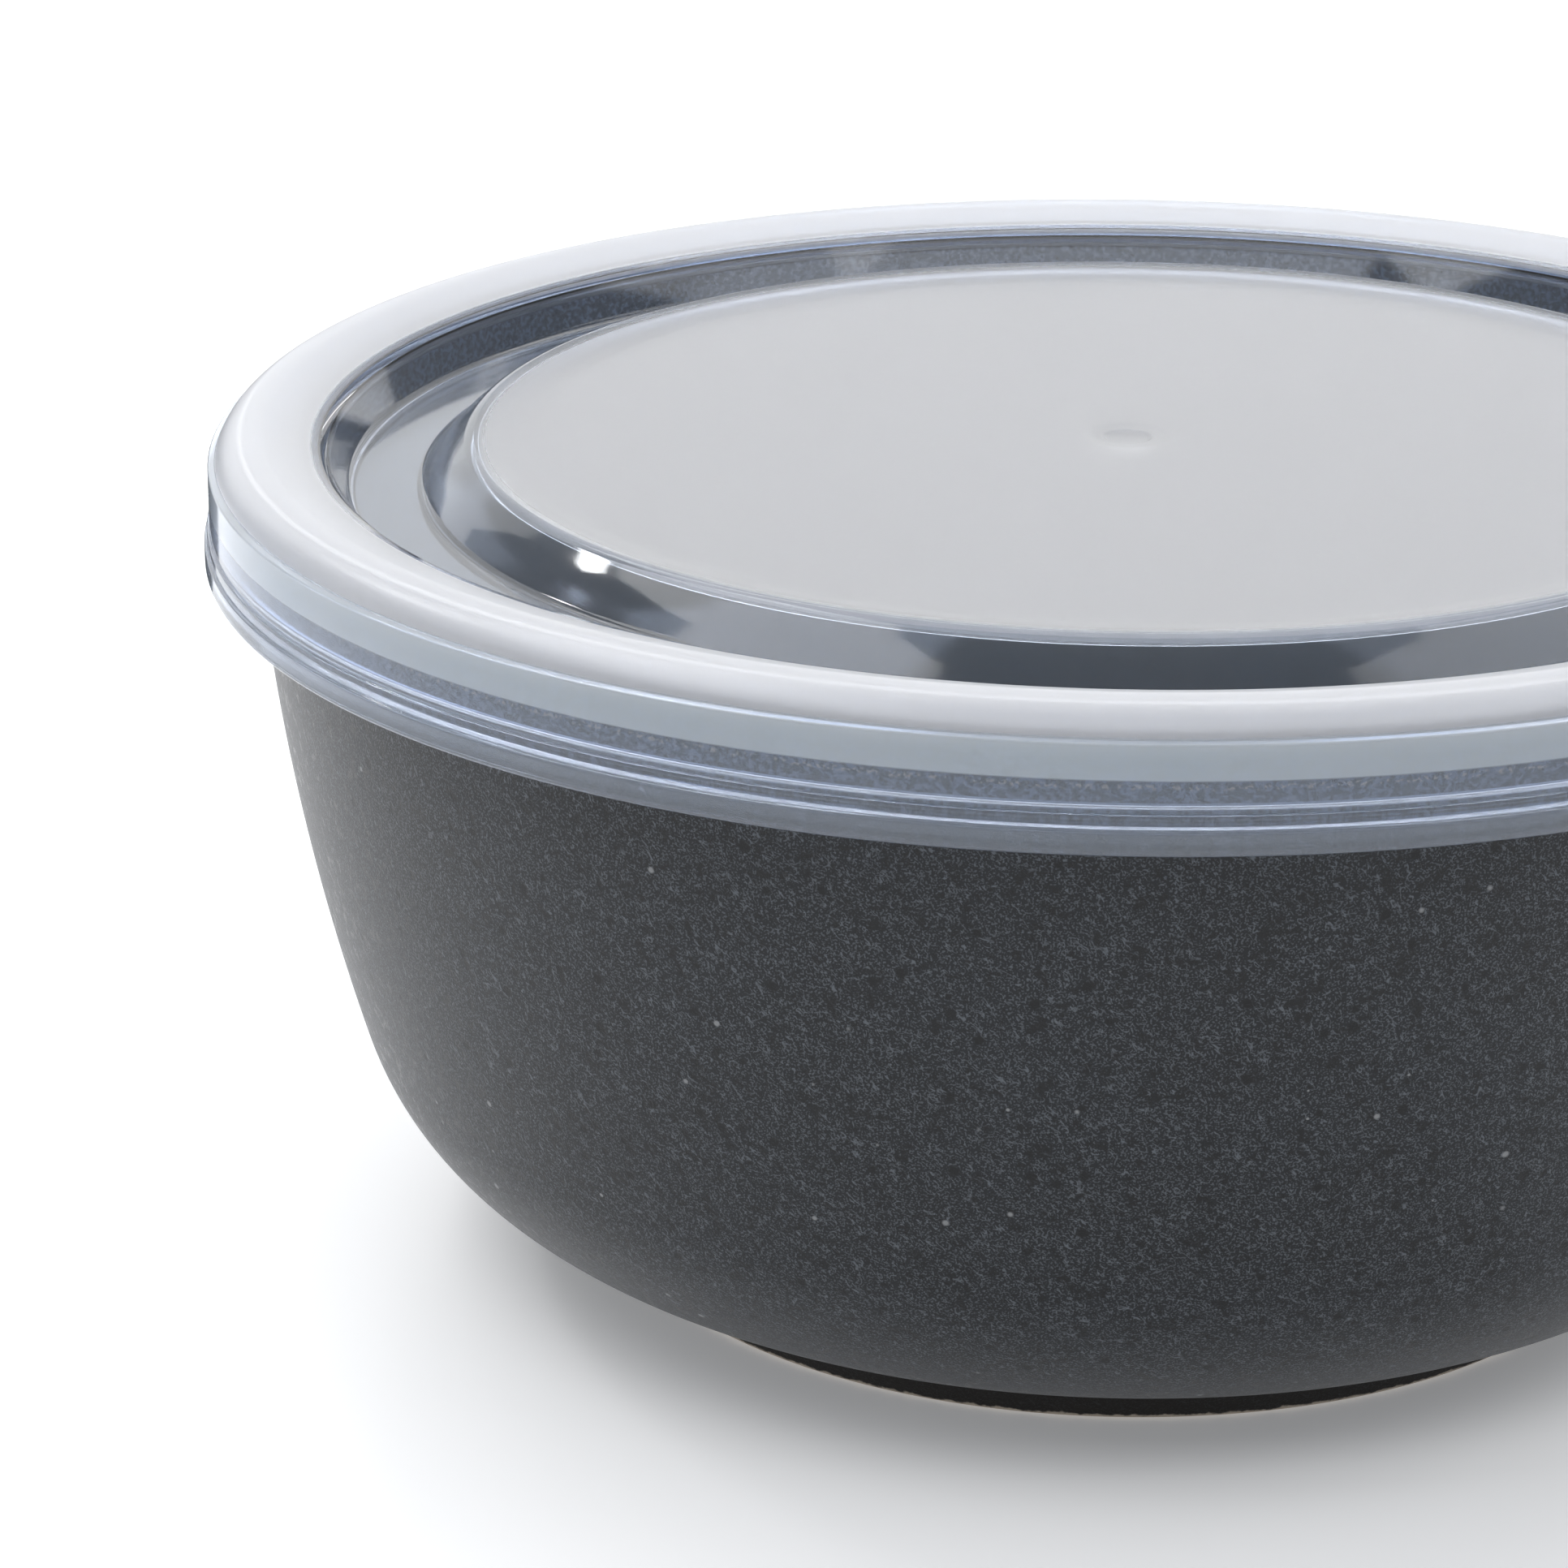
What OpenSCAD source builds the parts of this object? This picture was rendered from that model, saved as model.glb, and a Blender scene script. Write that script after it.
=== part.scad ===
// Round stoneware bowl with a translucent press-on lid.
// Origin: centre of the foot ring, on the surface that the bowl stands on. +Z is up.
// Both pieces are solids of revolution about the Z axis, drawn as half sections in (radius, height).

/* [Bowl] */
// Height from the foot to the top of the rim
bowl_h = 66.3; // [50:0.1:85]
// Outer radius where the wall meets the rounding of the rim
rim_r = 71; // [58:0.1:90]
// Wall thickness, the same all over
wall = 4.4; // [3:0.1:6]
// Radius of the long curve of the upper wall
flank_r = 192; // [150:1:260]
// Lean of the wall where the belly curve takes over, in degrees from upright
flank_lean = 16.8; // [14:0.1:20]
// Radius of the belly curve between wall and underside
belly_r = 22.9; // [18:0.1:28]
// Rounding of the rim on the outside
rim_round_out = 3; // [1.5:0.1:3.6]
// Rounding of the rim on the inside
rim_round_in = 1.2; // [0.6:0.1:1.4]

/* [Foot] */
// Outer radius of the foot ring at the surface that it stands on
foot_r = 43.1; // [34:0.1:52]
// Width of the foot ring at its base
foot_w = 5.6; // [4:0.1:8]
// Height of the foot ring
foot_h = 3.5; // [2.5:0.1:6]
// Thickness of the bowl's bottom inside the foot ring
bottom_t = 5.3; // [4:0.1:6.5]
// Outward lean of the foot ring over its height
foot_lean = 1.4; // [0:0.1:3]
// Bare chamfer round the bottom of the foot ring
foot_chamfer = 0.4; // [0.2:0.05:0.8]

/* [Lid] */
// Thickness of the moulded plastic
lid_wall = 1.4; // [1.1:0.05:2]
// Drop of the lid's lip below the top of the rim
skirt_drop = 7.5; // [6.5:0.1:12]
// Gap between the rim and the inside of the skirt
skirt_gap = 2.1; // [1.7:0.05:3]
// Height of the flange crest over the inner edge of the flange
crest_rise = 1.4; // [0.6:0.05:1.8]
// Rounding of the flange shoulder
shoulder_round = 3.4; // [2.8:0.1:4.2]
// Rounding of the flange's inner edge
inner_round = 0.9; // [0.5:0.05:1]
// Width of the ledge between shoulder and skirt
ledge_w = 0.55; // [0.3:0.05:0.9]
// Drop of that ledge below the flange crest
ledge_drop = 2.3; // [1.6:0.1:2.6]
// Width of the flat land under the flange that rests on the rim
seat_w = 2.2; // [1.4:0.1:3]

/* [Lip] */
// Height of the lip band
lip_h = 3.1; // [2.4:0.1:4]
// How far the lip band stands out from the skirt
lip_out = 0.45; // [0.3:0.05:0.8]
// Height of the lower step of the lip band
lip_step_h = 2; // [1.2:0.1:2.2]
// Rounding of the lip's bottom edge
lip_round = 0.5; // [0.3:0.05:0.8]
// Height of the snap bead over the bottom of the lip
bead_z = 2.3; // [2:0.1:4]
// Radius of the nose of the snap bead
bead_r = 0.9; // [0.6:0.05:1.2]

/* [Lid centre] */
// Width of the floor of the ring channel round the centre disc
channel_w = 5.9; // [3:0.1:9]
// Depth of the ring channel below the inner edge of the flange
channel_d = 3.6; // [2.8:0.1:4.4]
// Run of the sloping wall from the disc's edge out to the channel floor
disc_slope = 2.8; // [2.2:0.1:5]
// Inward lean of the channel's outer wall over its height
plug_lean = 1.6; // [0.8:0.1:2.2]
// Height of the disc's edge over the inner edge of the flange
disc_rise = 0.1; // [0:0.05:0.6]
// Drop of the disc's middle below its edge
disc_dish = 0.7; // [0.2:0.05:1]
// Width of the band over which the disc rises to its edge
dish_band = 3; // [2:0.1:6]
// Rounding of the disc's edge
disc_round = 1.6; // [1.5:0.05:2.2]
// Radius of the moulding mark at the centre
gate_r = 3.6; // [2.6:0.1:5]
// Radius of the pit inside the moulding mark
pit_r = 1.9; // [1.2:0.1:2.4]
// Depth of the pit below the disc
pit_d = 0.3; // [0.2:0.05:0.5]
// Depth of the shallow ring round the pit
gate_d = 0.1; // [0.05:0.05:0.15]

/* [Fits] */
// Gap between the top of the rim and the lid that rests on it
seat_gap = 0.3; // [0.25:0.05:0.6]
// Gap between the bowl's inner wall and the lid's plug
plug_gap = 0.4; // [0.3:0.05:0.8]
// Gap between the rim's outside and the nose of the snap bead
bead_gap = 0.35; // [0.3:0.05:0.6]

/* [Hidden] */
$fn = 180;
arc_steps = 16;

// Rim; its outer rounding is limited by the wall
rim_land = 0.2;
rim_round = min(rim_round_out, wall - rim_round_in - rim_land);
rim_z = bowl_h - rim_round;

// Flank and belly are two arcs that share a tangent where the wall leans by flank_lean
up = 90;
belly_z = foot_h + belly_r;
flank_z = belly_z + (flank_r - belly_r) * sin(flank_lean);
flank_x = rim_r - chord(flank_r, rim_z - flank_z);
flank_c = [flank_x, flank_z];
belly_c = [flank_x + (flank_r - belly_r) * cos(flank_lean), belly_z];
rim_dir = asin((rim_z - flank_z) / flank_r);
rim_in_dir = asin((rim_z - flank_z) / (flank_r - wall));
rim_in_r = flank_x + chord(flank_r - wall, rim_z - flank_z);

// Foot ring, which meets the belly where its outer side comes up to it
foot_in_r = foot_r - foot_w;
foot_top_r = foot_r + foot_lean;
foot_dir = -acos(max(foot_top_r - belly_c[0], 0) / belly_r);
recess_h = foot_h + wall - bottom_t;

// Heights of the lid, worked up from the rim
seat_z = bowl_h + seat_gap;
flange_z = seat_z + lid_wall;
crest_z = flange_z + crest_rise;
ledge_z = crest_z - ledge_drop;
floor_z = flange_z - channel_d;
edge_z = flange_z + disc_rise;
disc_z = edge_z - disc_dish;

// Heights of the lip, worked down from the rim
lip_z = bowl_h - skirt_drop;
step_z = lip_z + lip_step_h;
band_z = lip_z + lip_h;

// Radii of the lid outside the rim
skirt_in_r = rim_r + skirt_gap;
skirt_r = skirt_in_r + lid_wall;
lip_r = skirt_r + lip_out;

// Radii of the lid inside the rim
plug_r = rim_in_r - plug_gap;
throat_r = plug_r - lid_wall;
channel_out_r = throat_r - plug_lean;
channel_in_r = channel_out_r - channel_w;
disc_r = channel_in_r - disc_slope;

// Centres of the lid's roundings and of the snap bead
shoulder_c = [skirt_r - ledge_w - chord(shoulder_round, ledge_z - crest_z + shoulder_round),
              crest_z - shoulder_round];
inner_c = [throat_r + inner_round, flange_z - inner_round];
disc_c = [disc_r - disc_round, edge_z - disc_round];

lip_c = [lip_r - lip_round, lip_z + lip_round];
bead_c = [rim_r + bead_gap + bead_r, lip_z + bead_z];

// Corners of the channel floor on the upper face
floor_in = [channel_in_r, floor_z];
floor_out = [channel_out_r, floor_z];

// Directions that the upper faces look in, in degrees from outwards
slope_dir = tangent_dir(disc_c, disc_round, floor_in, 1);
wall_dir = tangent_dir(inner_c, inner_round, floor_out, -1);
flange_dir = bearing(inner_c, shoulder_c)
    + acos((inner_round - shoulder_round) / norm(shoulder_c - inner_c));
ledge_dir = asin((ledge_z - shoulder_c[1]) / shoulder_round);

// Corners under the channel floor and under the flange
low_in = mitre(floor_in, lid_wall, slope_dir, up);
low_out = mitre(floor_out, lid_wall, wall_dir, up);
low_flange = mitre(inner_c, lid_wall - inner_round, wall_dir, flange_dir);

// How far a circle of radius r reaches sideways at height h over its centre
function chord(r, h) = sqrt(r * r - h * h);
// Point at distance d from c in direction a
function polar(c, d, a) = c + d * [cos(a), sin(a)];
// Direction from point p to point q
function bearing(p, q) = atan2(q[1] - p[1], q[0] - p[0]);
// Direction from the centre c of a rounding to the point where a line from p touches it
function tangent_dir(c, r, p, side) = bearing(c, p) + side * acos(r / norm(p - c));
// Corner p of faces that look in directions a and b, carried inwards by t
function mitre(p, t, a, b) = p - t / (1 + cos(a - b)) * (polar([0, 0], 1, a) + polar([0, 0], 1, b));
// Points along a rounding, from direction a to direction b
function arc(c, r, a, b, first = 0) =
    [for (i = [first : arc_steps]) polar(c, r, a + (b - a) * i / arc_steps)];
// Inside of a rounded corner in a plate of thickness t
function arc_inside(c, r, t, a, b) = r > t ? arc(c, r - t, a, b) : [mitre(c, t - r, a, b)];
// Point at radius r on the line through p and q
function at_radius(p, q, r) = p + (q - p) * (r - p[0]) / (q[0] - p[0]);
// Point at height z on the line through p and q
function at_height(p, q, z) = p + (q - p) * (z - p[1]) / (q[1] - p[1]);

// Underside and outer face of the bowl, from the axis out over the foot and up to the rim
function bowl_outer() = concat(
    [[0, recess_h], [foot_in_r - foot_lean, recess_h], [foot_in_r, 0]],
    [[foot_r - foot_chamfer, 0], [foot_r, foot_chamfer], [foot_top_r, foot_h]],
    arc(belly_c, belly_r, foot_dir, -flank_lean),
    arc(flank_c, flank_r, -flank_lean, rim_dir, 1),
    arc([rim_r - rim_round, rim_z], rim_round, 0, up, 1));

// Inner face of the bowl, from the rim down and in to the axis
function bowl_inner() = concat(
    arc([rim_in_r + rim_round_in, bowl_h - rim_round_in], rim_round_in, up, 180),
    arc(flank_c, flank_r - wall, rim_in_dir, -flank_lean),
    arc(belly_c, belly_r - wall, -flank_lean, -up, 1),
    [[0, foot_h + wall]]);

module bowl() {
    color([0.22, 0.23, 0.25]) rotate_extrude() polygon(concat(bowl_outer(), bowl_inner()));
}

// Upper and outer faces of the lid, from the axis out and down to the lip
function lid_upper() = concat(
    [[0, disc_z - pit_d], [pit_r, disc_z - pit_d], [pit_r, disc_z - gate_d]],
    [[gate_r, disc_z - gate_d], [gate_r, disc_z]],
    [[disc_c[0] - dish_band, disc_z]],
    arc(disc_c, disc_round, up, slope_dir),
    [floor_in, floor_out],
    arc(inner_c, inner_round, wall_dir, flange_dir),
    arc(shoulder_c, shoulder_round, flange_dir, ledge_dir),
    [[skirt_r, ledge_z], [skirt_r, band_z]],
    [[skirt_r + lip_out / 2, band_z], [skirt_r + lip_out / 2, step_z], [lip_r, step_z]],
    arc(lip_c, lip_round, 0, -up));

// Inner faces of the lid, from the lip up over the snap bead and back to the axis
function lid_lower() = concat(
    [[skirt_in_r, lip_z], [skirt_in_r, bead_c[1] - bead_r]],
    arc(bead_c, bead_r, 270, up),
    [[skirt_in_r, bead_c[1] + bead_r], [skirt_in_r, shoulder_c[1]]],
    arc_inside(shoulder_c, shoulder_round, lid_wall, 0, flange_dir),
    [at_radius(low_flange, polar(shoulder_c, shoulder_round - lid_wall, flange_dir), plug_r + seat_w)],
    [[plug_r + seat_w, seat_z], at_height(low_out, low_flange, seat_z)],
    [low_out, low_in],
    arc_inside(disc_c, disc_round, lid_wall, slope_dir, up),
    [[disc_c[0] - dish_band, disc_z - lid_wall], [0, disc_z - lid_wall]]);

module lid() {
    color([0.82, 0.84, 0.88]) rotate_extrude() polygon(concat(lid_upper(), lid_lower()));
}

bowl();
lid();
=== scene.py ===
"""Looks of a round stoneware bowl with a translucent press-on lid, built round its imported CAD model.

Sizes are in millimetres and angles in degrees; the outlines are half sections in (radius, height).
"""

import logging
import math
from dataclasses import dataclass
from enum import Enum
from typing import Any

import bmesh
import bpy
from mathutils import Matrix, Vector


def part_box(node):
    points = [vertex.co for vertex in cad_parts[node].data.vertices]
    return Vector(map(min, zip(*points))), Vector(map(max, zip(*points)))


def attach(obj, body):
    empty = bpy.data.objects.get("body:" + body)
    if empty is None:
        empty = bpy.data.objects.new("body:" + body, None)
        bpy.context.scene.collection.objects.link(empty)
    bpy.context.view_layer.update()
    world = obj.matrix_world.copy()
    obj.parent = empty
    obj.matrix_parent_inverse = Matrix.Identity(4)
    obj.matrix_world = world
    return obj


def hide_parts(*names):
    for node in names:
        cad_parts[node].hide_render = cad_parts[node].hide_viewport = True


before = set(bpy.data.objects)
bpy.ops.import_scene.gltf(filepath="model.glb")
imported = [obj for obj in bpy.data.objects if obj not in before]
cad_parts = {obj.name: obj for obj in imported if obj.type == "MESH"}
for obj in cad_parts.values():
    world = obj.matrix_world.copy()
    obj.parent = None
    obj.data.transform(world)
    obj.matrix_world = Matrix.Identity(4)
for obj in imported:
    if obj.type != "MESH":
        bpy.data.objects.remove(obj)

MM = 0.001
log = logging.getLogger("bowl")

Point = tuple[float, float]
Colour = tuple[float, float, float]


class Facing(Enum):
    """Directions in a half section, in degrees from outwards."""

    OUT = 0.0
    UP = 90.0
    DOWN = -90.0


def chord(radius: float, height: float) -> float:
    """How far a circle of that radius reaches sideways at that height over its centre."""
    return math.sqrt(radius * radius - height * height)


def polar(centre: Point, distance: float, degrees: float) -> Point:
    """The point at a distance from a centre in a direction."""
    turn = math.radians(degrees)
    return centre[0] + distance * math.cos(turn), centre[1] + distance * math.sin(turn)


def bearing(start: Point, end: Point) -> float:
    """The direction from one point to another."""
    return math.degrees(math.atan2(end[1] - start[1], end[0] - start[0]))


def touching(centre: Point, radius: float, start: Point, side: int) -> float:
    """The direction from a rounding's centre to where a line from a point touches it.

    Args:
        centre: Centre of the rounding.
        radius: Radius of the rounding.
        start: Point that the line comes from.
        side: 1 or -1, for the side on which it touches.

    Returns:
        The direction in degrees.
    """
    reach = math.dist(centre, start)
    return bearing(centre, start) + side * math.degrees(math.acos(radius / reach))


def under(corner: Point, wall: float, first: float, second: float) -> Point:
    """The corner on the other face of a bent plate.

    Args:
        corner: Corner on this face.
        wall: Thickness of the plate.
        first: Direction that the face on one side looks in.
        second: Direction that the face on the other side looks in.

    Returns:
        The corner on the far face.
    """
    share = wall / (1 + math.cos(math.radians(first - second)))
    one, two = polar((0, 0), 1, first), polar((0, 0), 1, second)
    return corner[0] - share * (one[0] + two[0]), corner[1] - share * (one[1] + two[1])


def along(start: Point, end: Point, share: float) -> Point:
    """The point at a share of the way from one point to another."""
    return start[0] + (end[0] - start[0]) * share, start[1] + (end[1] - start[1]) * share


class HalfSection:
    """A closed half section, drawn point by point and then turned about the axis into a solid."""

    EASE_STEPS = 4
    SAME = 1e-7

    def __init__(self) -> None:
        """Starts an empty outline."""
        self.mesh = bmesh.new()
        self.first: bmesh.types.BMVert | None = None
        self.last: bmesh.types.BMVert | None = None
        self.eased: dict[float, list[bmesh.types.BMVert]] = {}

    def to(self, point: Point, ease: float = 0.0) -> "HalfSection":
        """Goes on in a straight line.

        Args:
            point: Where the line goes.
            ease: Length that a soft corner takes off each side, or 0 for a sharp one.

        Returns:
            This outline.
        """
        vert = self.mesh.verts.new((point[0] * MM, 0.0, point[1] * MM))
        if self.last is None:
            self.first = vert
        else:
            self.mesh.edges.new((self.last, vert))
        if ease:
            self.eased.setdefault(ease, []).append(vert)
        self.last = vert
        return self

    def arc(self, centre: Point, radius: float, start: float, end: float, steps: int) -> "HalfSection":
        """Goes on in a straight line to an arc and then along it.

        Args:
            centre: Centre of the arc.
            radius: Radius of the arc.
            start: Direction from the centre to where the arc starts.
            end: Direction from the centre to where it ends.
            steps: Number of straight pieces.

        Returns:
            This outline.
        """
        self.to(polar(centre, radius, start))
        made = bmesh.ops.spin(
            self.mesh,
            geom=[self.last],
            cent=(centre[0] * MM, 0.0, centre[1] * MM),
            axis=(0.0, -1.0, 0.0),
            angle=math.radians(end - start),
            steps=steps,
        )
        self.last = next(g for g in made["geom_last"] if isinstance(g, bmesh.types.BMVert))
        return self

    def turn(self, name: str, steps: int) -> bpy.types.Object:
        """Closes the outline, softens its corners and turns it into a solid of revolution.

        Args:
            name: Name of the new piece.
            steps: Number of steps round the axis.

        Returns:
            The new piece, at the origin with its place in its mesh.
        """
        if (self.last.co - self.first.co).length > self.SAME and self.last.co.x + self.first.co.x > self.SAME:
            self.mesh.edges.new((self.last, self.first))
        bmesh.ops.remove_doubles(self.mesh, verts=self.mesh.verts[:], dist=self.SAME)
        for ease, verts in self.eased.items():
            bmesh.ops.bevel(
                self.mesh,
                geom=[v for v in verts if v.is_valid],
                offset=ease * MM,
                offset_type="OFFSET",
                affect="VERTICES",
                segments=self.EASE_STEPS,
                profile=0.5,
                material=-1,
                clamp_overlap=True,
            )
        bmesh.ops.spin(
            self.mesh,
            geom=self.mesh.verts[:] + self.mesh.edges[:],
            cent=(0.0, 0.0, 0.0),
            axis=(0.0, 0.0, 1.0),
            angle=math.tau,
            steps=steps,
            use_merge=True,
        )
        bmesh.ops.remove_doubles(self.mesh, verts=self.mesh.verts[:], dist=self.SAME)
        bmesh.ops.recalc_face_normals(self.mesh, faces=self.mesh.faces[:])
        for face in self.mesh.faces:
            face.smooth = True
        data = bpy.data.meshes.new(name)
        self.mesh.to_mesh(data)
        self.mesh.free()
        piece = bpy.data.objects.new(name, data)
        bpy.context.scene.collection.objects.link(piece)
        shading = piece.modifiers.new("even_shading", "WEIGHTED_NORMAL")
        shading.mode = "FACE_AREA"
        shading.weight = 100
        return piece


@dataclass(frozen=True)
class Grain:
    """Soft random blobs of a size in millimetres, cut so that they start at low and are full at high."""

    size: float
    detail: float
    rough: float
    low: float
    high: float
    share: float = 1.0


@dataclass(frozen=True)
class Hairs:
    """Thin crooked lines that follow blobs of a size, kept only where another grain is high."""

    size: float
    width: float
    kept: Grain


@dataclass(frozen=True)
class Spots:
    """Round spots: mean spacing and largest radius in millimetres, and the share of places that hold one."""

    spacing: float
    radius: float
    kept: float


class Bench:
    """Lays out and joins the nodes of one finish."""

    SPOT_CORE = 0.55
    HAIR_WARP = 0.4
    MIDDLE = 0.5

    def __init__(self, name: str) -> None:
        """Starts a finish with a plain shader on its output.

        Args:
            name: Name of the finish.
        """
        self.finish = bpy.data.materials.new(name)
        self.finish.use_nodes = True
        self.tree = self.finish.node_tree
        self.tree.nodes.clear()
        self.shader = self.node("ShaderNodeBsdfPrincipled")
        output = self.node("ShaderNodeOutputMaterial")
        self.tree.links.new(self.shader.outputs["BSDF"], output.inputs["Surface"])
        self.place = self.node("ShaderNodeTexCoord").outputs["Object"]

    def node(
        self, kind: str, inputs: dict[str | int, Any] | None = None, **settings: Any
    ) -> bpy.types.Node:
        """Adds a node.

        Args:
            kind: Blender's name for the kind of node.
            inputs: What goes into its sockets, a value or another node's socket.
            **settings: Its own settings.

        Returns:
            The node.
        """
        made = self.tree.nodes.new(kind)
        for name, value in settings.items():
            setattr(made, name, value)
        for name, value in (inputs or {}).items():
            if isinstance(value, bpy.types.NodeSocket):
                self.tree.links.new(value, made.inputs[name])
            else:
                made.inputs[name].default_value = value
        return made

    def set(self, **inputs: Any) -> None:
        """Sets the shader's own sockets, with _ for a space in a name."""
        for name, value in inputs.items():
            socket = self.shader.inputs[name.replace("_", " ")]
            if isinstance(value, bpy.types.NodeSocket):
                self.tree.links.new(value, socket)
            else:
                socket.default_value = value

    def grain(
        self, size: float, detail: float = 2.0, rough: float = 0.5, warp: float = 0.0
    ) -> bpy.types.NodeSocket:
        """Soft random variation from 0 to 1.

        Args:
            size: Size of the blobs in millimetres.
            detail: Number of finer layers.
            rough: Weight of the finer layers.
            warp: How far the blobs are bent out of shape.

        Returns:
            The socket with the pattern.
        """
        inputs = {
            "Vector": self.place,
            "Scale": 1 / (size * MM),
            "Detail": detail,
            "Roughness": rough,
            "Distortion": warp,
        }
        return self.node("ShaderNodeTexNoise", inputs).outputs["Fac"]

    def blobs(self, grain: Grain) -> bpy.types.NodeSocket:
        """The pattern of a grain, 0 between its blobs and its share on them."""
        value = self.grain(grain.size, grain.detail, grain.rough)
        return self.ramp(value, grain.low, grain.high, 0.0, grain.share)

    def spots(self, spots: Spots) -> bpy.types.NodeSocket:
        """The pattern of round spots, 1 at the middle of each and 0 outside."""
        cells = self.node(
            "ShaderNodeTexVoronoi", {"Vector": self.place, "Scale": 1 / (spots.spacing * MM)}
        )
        pick = self.node("ShaderNodeSeparateColor", {"Color": cells.outputs["Color"]}).outputs["Red"]
        edge = self.ramp(pick, 1 - spots.kept, 1.0, 0.0, spots.radius / spots.spacing)
        inputs = {
            "Value": cells.outputs["Distance"],
            "From Min": edge,
            "From Max": self.times(edge, self.SPOT_CORE),
            "To Min": 0.0,
            "To Max": 1.0,
        }
        spot = self.node("ShaderNodeMapRange", inputs, interpolation_type="LINEAR", clamp=True)
        return self.times(spot.outputs["Result"], self.math("GREATER_THAN", pick, 1 - spots.kept))

    def ramp(
        self, value: Any, low: float, high: float, at_low: Any = 0.0, at_high: Any = 1.0
    ) -> bpy.types.NodeSocket:
        """A smooth change of one value with another.

        Args:
            value: The value that it follows.
            low: Where the change starts.
            high: Where the change ends.
            at_low: The result at and below low.
            at_high: The result at and above high.

        Returns:
            The socket with the result.
        """
        inputs = {"Value": value, "From Min": low, "From Max": high, "To Min": at_low, "To Max": at_high}
        settings = {"interpolation_type": "SMOOTHSTEP", "clamp": True}
        return self.node("ShaderNodeMapRange", inputs, **settings).outputs["Result"]

    def step(self, value: Any, level: float, half: float) -> bpy.types.NodeSocket:
        """A soft step from 0 to 1 at a level, half wide on each side."""
        return self.ramp(value, level - half, level + half)

    def near(self, value: Any, level: float, full: float, none: float) -> bpy.types.NodeSocket:
        """A band that is 1 within full of a level and 0 beyond none of it."""
        away = self.math("ABSOLUTE", self.math("SUBTRACT", value, level))
        return self.ramp(away, full, none, 1.0, 0.0)

    def math(self, operation: str, first: Any, second: Any = 0.0) -> bpy.types.NodeSocket:
        """One sum on one or two values."""
        return self.node("ShaderNodeMath", {0: first, 1: second}, operation=operation).outputs[0]

    def times(self, first: Any, second: Any) -> bpy.types.NodeSocket:
        """The product of two values."""
        return self.math("MULTIPLY", first, second)

    def comb(self, degrees: float, stretch: float) -> None:
        """Makes the patterns that follow longer in one direction, leaning by that angle from upright."""
        turn = (0.0, math.radians(degrees), 0.0)
        inputs = {"Vector": self.place, "Rotation": turn, "Scale": (1.0, 1.0, stretch)}
        self.place = self.node("ShaderNodeMapping", inputs, vector_type="TEXTURE").outputs["Vector"]

    def lines(self, size: float, width: float) -> bpy.types.NodeSocket:
        """Thin crooked lines round blobs of that size; width is a share of the blobs' range."""
        return self.near(self.grain(size, 1.0, 0.5, self.HAIR_WARP), self.MIDDLE, 0.0, width)

    def hairs(self, hairs: Hairs) -> bpy.types.NodeSocket:
        """The pattern of short hairs, 1 on each hair."""
        return self.times(self.lines(hairs.size, hairs.width), self.blobs(hairs.kept))

    def blend(self, share: Any, first: Any, second: Any) -> bpy.types.NodeSocket:
        """A colour between two colours, the second where share is 1."""
        mix = self.node("ShaderNodeMix", data_type="RGBA")
        for socket, value in ((mix.inputs["Factor"], share), (mix.inputs[6], first), (mix.inputs[7], second)):
            if isinstance(value, bpy.types.NodeSocket):
                self.tree.links.new(value, socket)
            elif isinstance(value, tuple):
                socket.default_value = (*value, 1.0)
            else:
                socket.default_value = value
        return mix.outputs[2]

    def height(self) -> bpy.types.NodeSocket:
        """The height over the table in millimetres."""
        split = self.node("ShaderNodeSeparateXYZ", {"Vector": self.place})
        return self.math("MULTIPLY", split.outputs["Z"], 1 / MM)

    def radius(self) -> bpy.types.NodeSocket:
        """The distance from the axis in millimetres."""
        split = self.node("ShaderNodeSeparateXYZ", {"Vector": self.place})
        flat = self.node("ShaderNodeCombineXYZ", {"X": split.outputs["X"], "Y": split.outputs["Y"]})
        length = self.node("ShaderNodeVectorMath", {0: flat.outputs["Vector"]}, operation="LENGTH")
        return self.math("MULTIPLY", length.outputs["Value"], 1 / MM)

    def relief(self, value: bpy.types.NodeSocket, depth: float, strength: float = 1.0) -> None:
        """Raises the surface by up to depth in millimetres where value is 1."""
        bump = self.node("ShaderNodeBump", {"Height": value, "Distance": depth * MM, "Strength": strength})
        self.tree.links.new(bump.outputs["Normal"], self.shader.inputs["Normal"])


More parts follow.
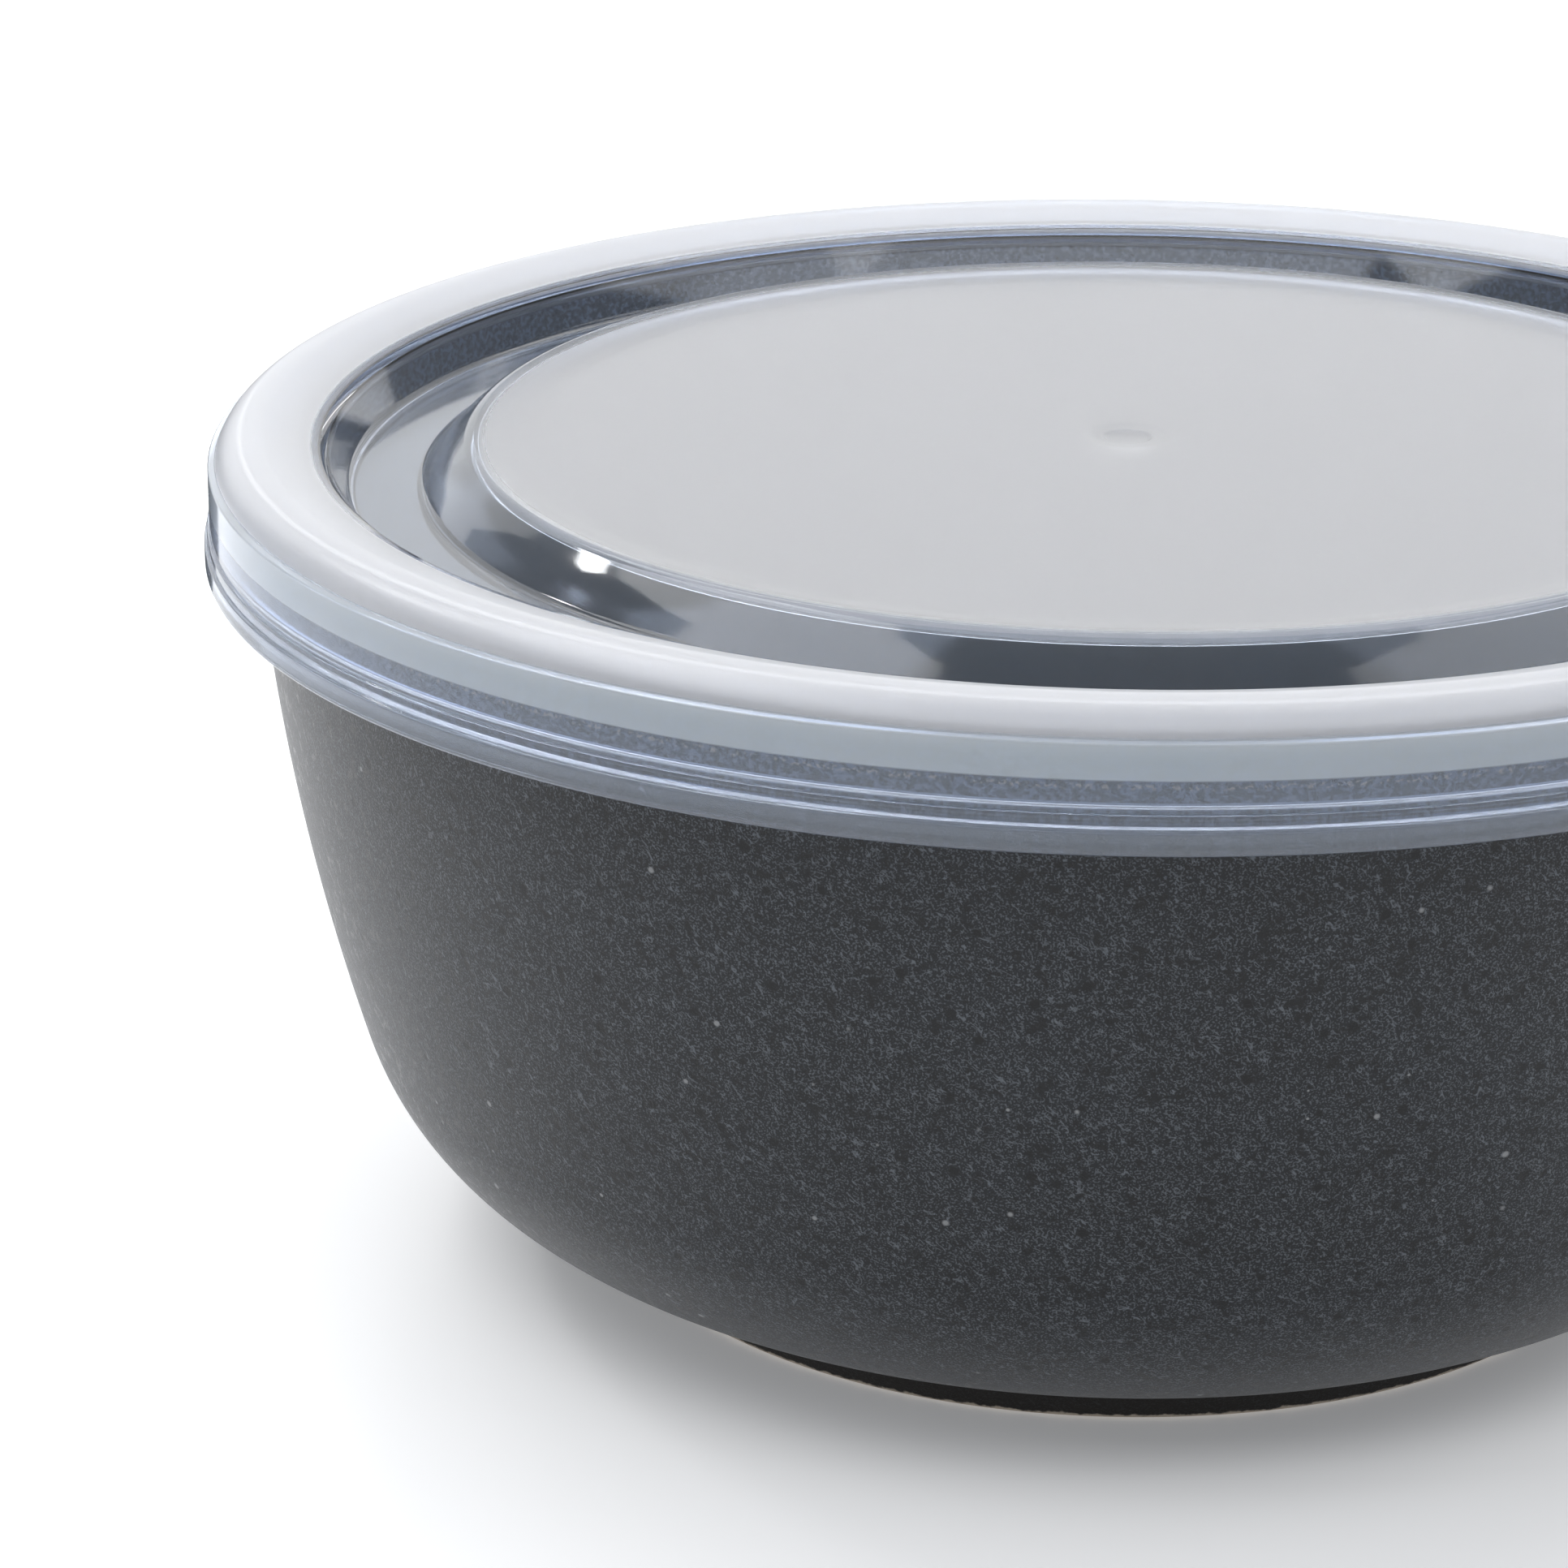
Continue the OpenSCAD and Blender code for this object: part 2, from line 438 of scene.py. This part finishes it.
@dataclass(frozen=True)
class CharcoalGlaze:
    """Satin charcoal glaze full of fine pale crystals, with bare clay at the foot, a flecked rim and an amber
    band on the rim's edge that is partly thin glaze and partly a painted glint.
    """

    body: Colour = (0.0068, 0.0088, 0.0120)
    deep: Colour = (0.002, 0.0025, 0.0035)
    crystal: Colour = (0.100, 0.113, 0.130)
    speck: Colour = (0.19, 0.197, 0.205)
    clay: Colour = (0.52, 0.45, 0.37)
    scorched: Colour = (0.020, 0.017, 0.014)
    amber_glint: Colour = (0.62, 0.50, 0.34)
    fleck: Colour = (0.28, 0.32, 0.38)
    cloud_grain: Grain = Grain(14.0, 3.0, 0.55, 0.3, 0.7, 0.35)
    patch_grain: Grain = Grain(1.1, 4.0, 0.65, 0.33, 0.50)
    grit_grain: Grain = Grain(0.15, 0.0, 0.5, 0.50, 0.72)
    fleck_grain: Grain = Grain(0.45, 3.0, 0.6, 0.44, 0.62, 0.6)
    glint_grain: Grain = Grain(0.3, 1.0, 0.5, 0.52, 0.62, 0.6)
    long_hairs: Hairs = Hairs(0.80, 0.030, Grain(0.50, 1.0, 0.5, 0.56, 0.62))
    short_hairs: Hairs = Hairs(0.45, 0.040, Grain(0.40, 1.0, 0.5, 0.54, 0.62))
    hair_lean: float = -45.0
    hair_stretch: float = 1.9
    hair_share: float = 0.85
    pits: Spots = Spots(1.9, 0.60, 0.55)
    pit_share: float = 0.95
    specks: Spots = Spots(2.4, 0.34, 0.30)
    clay_top: float = 0.45
    foot_top: float = 3.3
    foot_fade: float = 0.3
    scorch_share: float = 0.8
    rim_line: float = 62.9
    fleck_line: float = 58.5
    roughness: float = 0.31
    foot_roughness: float = 0.25
    ior: float = 1.37
    relief_depth: float = 0.02
    relief_strength: float = 0.6

    def make(self) -> bpy.types.Material:
        """Builds the finish and returns it."""
        bench = Bench("charcoal_glaze")
        patch, fine = bench.blobs(self.patch_grain), bench.blobs(self.grit_grain)
        hair = self.hairs(bench, patch)
        pit = bench.spots(self.pits)
        colour = bench.blend(bench.blobs(self.cloud_grain), self.body, self.deep)
        colour = bench.blend(bench.ramp(patch, 0.0, 1.0, 0.85, 0.0), colour, self.deep)
        grit = bench.times(fine, bench.ramp(patch, 0.0, 1.0, 0.05, 0.55))
        colour = bench.blend(grit, colour, self.crystal)
        colour = bench.blend(bench.times(hair, self.hair_share), colour, self.crystal)
        colour = bench.blend(bench.times(pit, self.pit_share), colour, self.deep)
        colour = bench.blend(bench.spots(self.specks), colour, self.speck)
        height = bench.height()
        wander = bench.times(bench.math("SUBTRACT", bench.grain(1.2, 3.0, 0.6), bench.MIDDLE), 0.9)
        level = bench.math("ADD", height, wander)
        foot = bench.ramp(level, self.foot_top - self.foot_fade, self.foot_top + self.foot_fade, 1.0, 0.0)
        bare = bench.ramp(level, self.clay_top - 0.15, self.clay_top + 0.1, 1.0, 0.0)
        colour = bench.blend(bench.times(foot, self.scorch_share), colour, self.scorched)
        colour = bench.blend(bare, colour, self.clay)
        near_rim = bench.ramp(level, self.fleck_line, self.rim_line)
        colour = bench.blend(bench.times(bench.blobs(self.fleck_grain), near_rim), colour, self.fleck)
        # Amber band on the rim's outer edge: partly the glaze thinning to amber there, partly a painted glint
        # of the lamp on that edge.
        on_line = bench.near(height, self.rim_line, 0.05, 0.35)
        colour = bench.blend(bench.times(on_line, bench.blobs(self.glint_grain)), colour, self.amber_glint)
        rough = bench.ramp(patch, 0.0, 1.0, self.roughness - 0.04, self.roughness + 0.05)
        rough = bench.math("ADD", rough, bench.times(foot, self.foot_roughness))
        bench.set(Base_Color=colour, Roughness=rough, IOR=self.ior)
        relief = bench.math("SUBTRACT", bench.math("ADD", hair, bench.times(patch, 0.5)), pit)
        relief = bench.math("ADD", relief, bench.times(fine, 0.6))
        bench.relief(relief, self.relief_depth, self.relief_strength)
        return bench.finish

    def hairs(self, bench: Bench, patch: bpy.types.NodeSocket) -> bpy.types.NodeSocket:
        """The long and short crystal hairs, combed one way and weaker between the patches.

        Args:
            bench: Where the finish is made.
            patch: The pattern of patches.

        Returns:
            The socket with the pattern.
        """
        straight = bench.place
        bench.comb(self.hair_lean, self.hair_stretch)
        hair = bench.math("MAXIMUM", bench.hairs(self.long_hairs), bench.hairs(self.short_hairs))
        bench.place = straight
        return bench.times(hair, bench.ramp(patch, 0.0, 1.0, 0.35, 1.0))


@dataclass(frozen=True)
class MilkyPlastic:
    """Milky, nearly clear moulded plastic: glossy walls, a finer matt in the middle and faint flow marks."""

    thin: Colour = (0.70, 0.80, 1.0)
    thick: Colour = (0.86, 0.88, 0.94)
    flange_tint: Colour = (0.76, 0.775, 0.82)
    flow_size: float = 16.0
    flow_share: float = 0.1
    clear: float = 0.95
    centre_clear: float = 0.84
    skirt_clear: float = 0.92
    collar_clear: float = 0.60
    flange_clear: float = 0.50
    corner_highlight: float = 0.15
    gloss: float = 0.08
    satin: float = 0.32
    matt: float = 0.30
    matt_radius: float = 52.5
    matt_fade: float = 0.7
    skirt_radius: float = 72.8
    flange_radius: float = 66.2
    ledge_height: float = 67.05
    collar_height: float = 64.35
    inner_corners: tuple[float, float] = (66.25, 71.9)
    ior: float = 1.49
    scatter: float = 0.004
    scratch_grain: Grain = Grain(3.0, 1.0, 0.5, 0.66, 0.70)
    wave_size: float = 9.0
    relief_depth: float = 0.004
    relief_strength: float = 0.1

    def make(self) -> bpy.types.Material:
        """Builds the finish and returns it."""
        bench = Bench("milky_plastic")
        flow = bench.ramp(bench.grain(self.flow_size, 3.0, 0.5, 1.2), 0.35, 0.65, 0.0, self.flow_share)
        radius, height = bench.radius(), bench.height()
        upper = bench.ramp(height, self.ledge_height - 0.1, self.ledge_height + 0.3)
        flange = bench.times(bench.step(radius, self.flange_radius, 0.15), upper)
        skirt = bench.ramp(radius, self.skirt_radius, self.skirt_radius + 0.3)
        collar = bench.times(skirt, bench.step(height, self.collar_height, 0.1))
        inner, outer = self.matt_radius - self.matt_fade, self.matt_radius + self.matt_fade
        centre = bench.ramp(radius, inner, outer, 1.0, 0.0)
        colour = bench.blend(bench.math("ADD", centre, flow), self.thin, self.thick)
        rough = bench.ramp(centre, 0.0, 1.0, self.gloss, self.matt)
        rough = bench.math("ADD", rough, bench.times(flange, self.satin - self.gloss))
        fine = bench.times(bench.math("SUBTRACT", bench.grain(0.6, 2.0), bench.MIDDLE), 0.03)
        clear = bench.ramp(skirt, 0.0, 1.0, self.clear, self.skirt_clear)
        # Painted light: the skirt's upper band is made less clear, and so brighter, standing in for light
        # that reaches it through the flange and the gap over the rim.
        painted_collar_glow = bench.times(collar, self.skirt_clear - self.collar_clear)
        clear = bench.math("SUBTRACT", clear, painted_collar_glow)
        clear = bench.ramp(flange, 0.0, 1.0, clear, self.flange_clear)
        clear = bench.ramp(centre, 0.0, 1.0, clear, self.centre_clear)
        # Painted highlight lines: the flange's two inner corners get milkier, brighter rings standing in for
        # the light lines that those corners show through the plastic.
        for corner in self.inner_corners:
            line = bench.times(bench.near(radius, corner, 0.05, 0.3), upper)
            clear = bench.math("SUBTRACT", clear, bench.times(line, self.corner_highlight))
        bench.set(
            Base_Color=bench.blend(flange, colour, self.flange_tint),
            Roughness=bench.math("ADD", rough, fine),
            IOR=self.ior,
            Transmission_Weight=clear,
            Subsurface_Weight=1.0,
            Subsurface_Radius=(1.0, 1.0, 1.0),
            Subsurface_Scale=self.scatter,
        )
        scratch = bench.times(bench.lines(self.wave_size, 0.004), bench.blobs(self.scratch_grain))
        relief = bench.math("SUBTRACT", bench.grain(self.wave_size, 1.0), scratch)
        bench.relief(bench.times(relief, centre), self.relief_depth, self.relief_strength)
        return bench.finish


@dataclass(frozen=True)
class WhiteTable:
    """Smooth satin white table top, faintly lit from below."""

    white: Colour = (0.86, 0.865, 0.875)
    grey: Colour = (0.8, 0.8, 0.8)
    glow: Colour = (0.97, 0.98, 1.0)
    cloud_grain: Grain = Grain(60.0, 2.0, 0.5, 0.3, 0.7, 0.02)
    roughness: float = 0.38
    gloss: float = 0.4
    lit: float = 0.21

    def make(self) -> bpy.types.Material:
        """Builds the finish and returns it."""
        bench = Bench("white_table")
        colour = bench.blend(bench.blobs(self.cloud_grain), self.white, self.grey)
        bench.set(Base_Color=colour, Roughness=self.roughness, Specular_IOR_Level=self.gloss)
        bench.set(Emission_Color=(*self.glow, 1.0), Emission_Strength=self.lit)
        return bench.finish


@dataclass
class Bowl:
    """The stoneware bowl: two tangent curves from the rim to the foot ring, and a wall of even thickness."""

    name: str = "stoneware_bowl"
    rim_r: float = 71.0
    wall: float = 4.4
    flank_r: float = 192.0
    flank_lean: float = 16.8
    belly_r: float = 22.9
    rim_round: float = 3.0
    rim_round_in: float = 1.2
    foot_r: float = 43.1
    foot_w: float = 5.6
    foot_h: float = 3.5
    foot_lean: float = 1.4
    bottom_t: float = 5.3
    steps: int = 288

    def build(self) -> bpy.types.Object:
        """Models the bowl up to the height of its CAD node and returns the piece."""
        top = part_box("bowl")[1].z / MM
        rim_z = top - self.rim_round
        belly_z = self.foot_h + self.belly_r
        lean = math.radians(self.flank_lean)
        flank_z = belly_z + (self.flank_r - self.belly_r) * math.sin(lean)
        flank_x = self.rim_r - chord(self.flank_r, rim_z - flank_z)
        flank = (flank_x, flank_z)
        belly = (flank_x + (self.flank_r - self.belly_r) * math.cos(lean), belly_z)
        inside = self.flank_r - self.wall
        rim_dir = math.degrees(math.asin((rim_z - flank_z) / self.flank_r))
        rim_in_dir = math.degrees(math.asin((rim_z - flank_z) / inside))
        rim_in_r = flank_x + chord(inside, rim_z - flank_z)
        foot_top = self.foot_r + self.foot_lean
        foot_dir = -math.degrees(math.acos((foot_top - belly[0]) / self.belly_r))
        foot_in = self.foot_r - self.foot_w
        recess = self.foot_h + self.wall - self.bottom_t
        up, down = Facing.UP.value, Facing.DOWN.value
        section = HalfSection()
        section.to((0.0, recess)).to((foot_in - self.foot_lean, recess), 1.2)
        section.to((foot_in, 0.0), 0.6)
        section.to((self.foot_r, 0.0), 0.5).to((foot_top, self.foot_h), 0.7)
        section.arc(belly, self.belly_r, foot_dir + 2, -self.flank_lean, 30)
        section.arc(flank, self.flank_r, -self.flank_lean + 0.4, rim_dir - 0.2, 24)
        section.arc((self.rim_r - self.rim_round, rim_z), self.rim_round, 2, up, 12)
        inner_rim = (rim_in_r + self.rim_round_in, top - self.rim_round_in)
        section.arc(inner_rim, self.rim_round_in, up, 178, 8)
        section.arc(flank, inside, rim_in_dir - 0.2, -self.flank_lean, 20)
        section.arc(belly, self.belly_r - self.wall, -self.flank_lean - 2, down, 20)
        section.to((0.0, self.foot_h + self.wall))
        return section.turn(self.name, self.steps)

    def dress(self, piece: bpy.types.Object, finish: bpy.types.Material) -> None:
        """Gives the bowl its finish and its place in the assembly."""
        piece.data.materials.append(finish)
        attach(piece, "bowl")
        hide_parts("bowl")


@dataclass
class Lid:
    """The press-on lid: a dished disc, a ring channel, a raised flange, and a skirt with a stepped lip."""

    name: str = "press_on_lid"
    wall: float = 1.4
    throat_r: float = 64.8
    plug_lean: float = 1.6
    channel_w: float = 5.9
    disc_slope: float = 2.8
    channel_d: float = 3.6
    crest_rise: float = 1.4
    disc_rise: float = 0.1
    disc_dish: float = 0.7
    dish_band: float = 3.0
    disc_round: float = 1.6
    inner_round: float = 0.9
    shoulder_round: float = 3.4
    ledge_w: float = 0.55
    ledge_drop: float = 2.3
    seat_w: float = 2.2
    lip_h: float = 3.1
    lip_out: float = 0.45
    lip_step_h: float = 2.0
    lip_round: float = 0.5
    crown_share: float = 0.4
    crown_rise: float = 0.14
    slope_bend: float = 5.0
    ledge_fall: float = 0.12
    step_fall: float = 0.06
    bead_z: float = 2.3
    bead_r: float = 0.9
    bead_nose: float = 71.35
    mark_r: float = 3.6
    pit_r: float = 1.9
    mark_d: float = 0.3
    steps: int = 288

    def build(self) -> bpy.types.Object:
        """Models the lid inside the box of its CAD node and returns the piece."""
        low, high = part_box("lid")
        lip_z, crest_z, lip_r = low.z / MM, high.z / MM, high.x / MM
        skirt_r = lip_r - self.lip_out
        skirt_in = skirt_r - self.wall
        flange_z = crest_z - self.crest_rise
        seat_z = flange_z - self.wall
        ledge_z = crest_z - self.ledge_drop
        floor_z = flange_z - self.channel_d
        edge_z = flange_z + self.disc_rise
        disc_z = edge_z - self.disc_dish
        floor_out = (self.throat_r - self.plug_lean, floor_z)
        floor_in = (floor_out[0] - self.channel_w, floor_z)
        disc = (floor_in[0] - self.disc_slope - self.disc_round, edge_z - self.disc_round)
        inner = (self.throat_r + self.inner_round, flange_z - self.inner_round)
        shoulder_z = crest_z - self.shoulder_round
        shoulder = (skirt_r - self.ledge_w - chord(self.shoulder_round, ledge_z - shoulder_z), shoulder_z)
        slope_dir = touching(disc, self.disc_round, floor_in, 1)
        wall_dir = touching(inner, self.inner_round, floor_out, -1)
        spread = math.acos((self.inner_round - self.shoulder_round) / math.dist(inner, shoulder))
        flange_dir = bearing(inner, shoulder) + math.degrees(spread)
        ledge_dir = math.degrees(math.asin((ledge_z - shoulder_z) / self.shoulder_round))
        out, up, down = Facing.OUT.value, Facing.UP.value, Facing.DOWN.value
        step_r, step_z, band_z = skirt_r + self.lip_out / 2, lip_z + self.lip_step_h, lip_z + self.lip_h

        section = HalfSection()
        self.mark(section, disc_z)
        section.to((disc[0] - self.dish_band, disc_z), 1.2)
        section.arc(disc, self.disc_round, up - 4, slope_dir + self.slope_bend, 12)
        crown = along(polar(disc, self.disc_round, slope_dir), floor_in, self.crown_share)
        section.to(polar(crown, self.crown_rise, slope_dir), 0.9)
        section.to(floor_in, 0.5).to(floor_out, 0.5)
        section.arc(inner, self.inner_round, wall_dir, flange_dir, 10)
        section.arc(shoulder, self.shoulder_round, flange_dir, ledge_dir + 2, 20)
        section.to(polar(shoulder, self.shoulder_round, ledge_dir), 0.06)
        section.to((skirt_r, ledge_z - self.ledge_fall), 0.15).to((skirt_r, band_z), 0.05)
        section.to((step_r, band_z - self.step_fall), 0.1).to((step_r, step_z), 0.05)
        section.to((lip_r, step_z - self.step_fall), 0.1)
        section.arc((lip_r - self.lip_round, lip_z + self.lip_round), self.lip_round, out, down, 8)

        bead_z = lip_z + self.bead_z
        section.to((skirt_in, lip_z), 0.2).to((skirt_in, bead_z - self.bead_r), 0.2)
        section.arc((self.bead_nose + self.bead_r, bead_z), self.bead_r, 268, 92, 14)
        section.to((skirt_in, bead_z + self.bead_r), 0.4)
        section.arc(shoulder, self.shoulder_round - self.wall, out, flange_dir, 14)
        low_out = under(floor_out, self.wall, wall_dir, up)
        low_flange = under(inner, self.wall - self.inner_round, wall_dir, flange_dir)
        roof = polar(shoulder, self.shoulder_round - self.wall, flange_dir)
        plug_r = self.throat_r + self.wall
        seat_r = plug_r + self.seat_w
        section.to(along(low_flange, roof, (seat_r - low_flange[0]) / (roof[0] - low_flange[0])), 0.1)
        section.to((seat_r, seat_z), 0.1)
        section.to(along(low_out, low_flange, (seat_z - low_out[1]) / (low_flange[1] - low_out[1])), 0.2)
        section.to(low_out, 0.4).to(under(floor_in, self.wall, slope_dir, up), 0.4)
        section.arc(disc, self.disc_round - self.wall, slope_dir, up, 4)
        section.to((disc[0] - self.dish_band, disc_z - self.wall), 1.2).to((0.0, disc_z - self.wall))
        return section.turn(self.name, self.steps)

    def mark(self, section: HalfSection, disc_z: float) -> None:
        """Draws the moulding mark at the centre: a shallow round dish with a deeper pit in it.

        Args:
            section: The outline so far, still empty.
            disc_z: Height of the disc's middle.
        """
        deep, shallow = disc_z - self.mark_d, disc_z - self.mark_d / 3
        section.to((0.0, deep)).to((self.pit_r - 0.15, deep), 0.12)
        section.to((self.pit_r + 0.15, shallow), 0.12)
        section.to((self.mark_r - 0.8, shallow), 0.3).to((self.mark_r, disc_z), 0.3)

    def dress(self, piece: bpy.types.Object, finish: bpy.types.Material) -> None:
        """Gives the lid its finish and its place in the assembly."""
        piece.data.materials.append(finish)
        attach(piece, "lid")
        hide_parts("lid")


@dataclass(frozen=True)
class Softbox:
    """One rectangular studio light."""

    name: str
    centre: tuple[float, float, float]
    width: float
    depth: float
    brightness: float

    def hang(self, target: Vector) -> None:
        """Hangs the light and turns it to the target; its power follows from its brightness and size."""
        data = bpy.data.lights.new(self.name, "AREA")
        data.shape = "RECTANGLE"
        data.size, data.size_y = self.width, self.depth
        data.energy = self.brightness * math.pi * self.width * self.depth
        lamp = bpy.data.objects.new(self.name, data)
        lamp.location = self.centre
        lamp.rotation_euler = (target - Vector(self.centre)).to_track_quat("-Z", "Y").to_euler()
        bpy.context.scene.collection.objects.link(lamp)


@dataclass(frozen=True)
class DarkGlazeCard:
    """Plain dark finish of what stands round the bowl and only shows in its gloss."""

    low: Colour = (0.012, 0.016, 0.023)
    high: Colour = (0.030, 0.036, 0.046)

    def make(self) -> bpy.types.Material:
        """Builds the finish and returns it."""
        bench = Bench("dark_glaze_card")
        bench.set(Base_Color=bench.blend(bench.grain(20.0, 2.0), self.low, self.high), Roughness=0.5, IOR=1.4)
        return bench.finish


@dataclass(frozen=True)
class Neighbour:
    """A dark round stand-in for one more bowl, seen only in the gloss and through the plastic."""

    name: str
    place: Point
    foot_r: float = 46.0
    top_r: float = 73.0
    height: float = 62.0
    steps: int = 96

    def stand(self, finish: bpy.types.Material) -> None:
        """Puts the stand-in on the table, out of the camera's sight and without a shadow."""
        mesh = bmesh.new()
        made = bmesh.ops.create_cone(
            mesh,
            cap_ends=True,
            segments=self.steps,
            radius1=self.foot_r * MM,
            radius2=self.top_r * MM,
            depth=self.height * MM,
        )
        middle = (*self.place, self.height * MM / 2)
        bmesh.ops.translate(mesh, verts=made["verts"], vec=middle)
        data = bpy.data.meshes.new(self.name)
        mesh.to_mesh(data)
        mesh.free()
        data.materials.append(finish)
        card = bpy.data.objects.new(self.name, data)
        bpy.context.scene.collection.objects.link(card)
        card.visible_camera = card.visible_shadow = card.visible_diffuse = False


@dataclass
class Studio:
    """White table, soft lights at both sides and behind, and the camera."""

    table_half: float = 6.0
    fill: float = 0.28
    eye: tuple[float, float, float] = (0.0, -0.43672, 0.19508)
    pitch: float = 19.914
    yaw: float = 3.668
    lens: float = 128.0
    sensor: float = 36.0
    softboxes: tuple[Softbox, ...] = (
        Softbox("left_softbox", (-0.62, -0.02, 0.98), 1.10, 0.475, 3.5),
        Softbox("left_lamp", (-0.66, 0.38, 0.64), 0.12, 0.06, 25.0),
        Softbox("right_softbox", (0.75, -0.10, 0.90), 1.00, 0.55, 2.0),
        Softbox("front_softbox", (0.10, -0.95, 1.22), 2.00, 0.50, 2.0),
        Softbox("top_softbox", (0.0, 0.52, 1.12), 1.2, 1.0, 2.0),
        Softbox("back_panel", (-0.1, 1.5, 0.75), 2.8, 1.4, 1.2),
        Softbox("left_panel", (-1.40, 0.0, 0.34), 1.4, 0.40, 1.1),
    )

    neighbours: tuple[Neighbour, ...] = (
        Neighbour("left_neighbour", (-0.12, 0.187)),
        Neighbour("back_neighbour", (0.11, 0.25)),
    )

    def table(self, finish: bpy.types.Material) -> bpy.types.Object:
        """Lays the table top at the height that the bowl stands on and returns it."""
        mesh = bmesh.new()
        bmesh.ops.create_grid(mesh, x_segments=4, y_segments=4, size=self.table_half)
        data = bpy.data.meshes.new("table_top")
        mesh.to_mesh(data)
        mesh.free()
        data.materials.append(finish)
        top = bpy.data.objects.new("table_top", data)
        bpy.context.scene.collection.objects.link(top)
        return top

    def light(self) -> None:
        """Hangs the softboxes and sets the even light of the room."""
        for box in self.softboxes:
            box.hang(Vector((0.0, 0.0, 0.05)))
        world = bpy.data.worlds.new("studio_room")
        world.use_nodes = True
        room = world.node_tree.nodes["Background"]
        room.inputs["Color"].default_value = (0.95, 0.97, 1.0, 1.0)
        room.inputs["Strength"].default_value = self.fill
        bpy.context.scene.world = world

    def camera(self) -> bpy.types.Object:
        """Sets up the camera and returns it."""
        data = bpy.data.cameras.new("camera")
        data.lens, data.sensor_width = self.lens, self.sensor
        data.clip_start, data.clip_end = 0.01, 50.0
        eye = bpy.data.objects.new("camera", data)
        eye.location = self.eye
        eye.rotation_euler = (math.radians(90 - self.pitch), 0.0, math.radians(self.yaw))
        bpy.context.scene.collection.objects.link(eye)
        bpy.context.scene.camera = eye
        return eye

    def tone(self) -> None:
        """Keeps whites white."""
        bpy.context.scene.view_settings.view_transform = "Standard"


def main() -> None:
    """Builds the bowl, the lid and the studio in order."""
    logging.basicConfig(level=logging.INFO, format="%(name)s: %(message)s")
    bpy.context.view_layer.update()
    for maker, finish in ((Bowl(), CharcoalGlaze()), (Lid(), MilkyPlastic())):
        piece = maker.build()
        maker.dress(piece, finish.make())
        log.info("%s: %d faces", piece.name, len(piece.data.polygons))
    studio = Studio()
    studio.table(WhiteTable().make())
    dark = DarkGlazeCard().make()
    for neighbour in studio.neighbours:
        neighbour.stand(dark)
    studio.light()
    studio.camera()
    studio.tone()


if __name__ == "__main__":
    main()
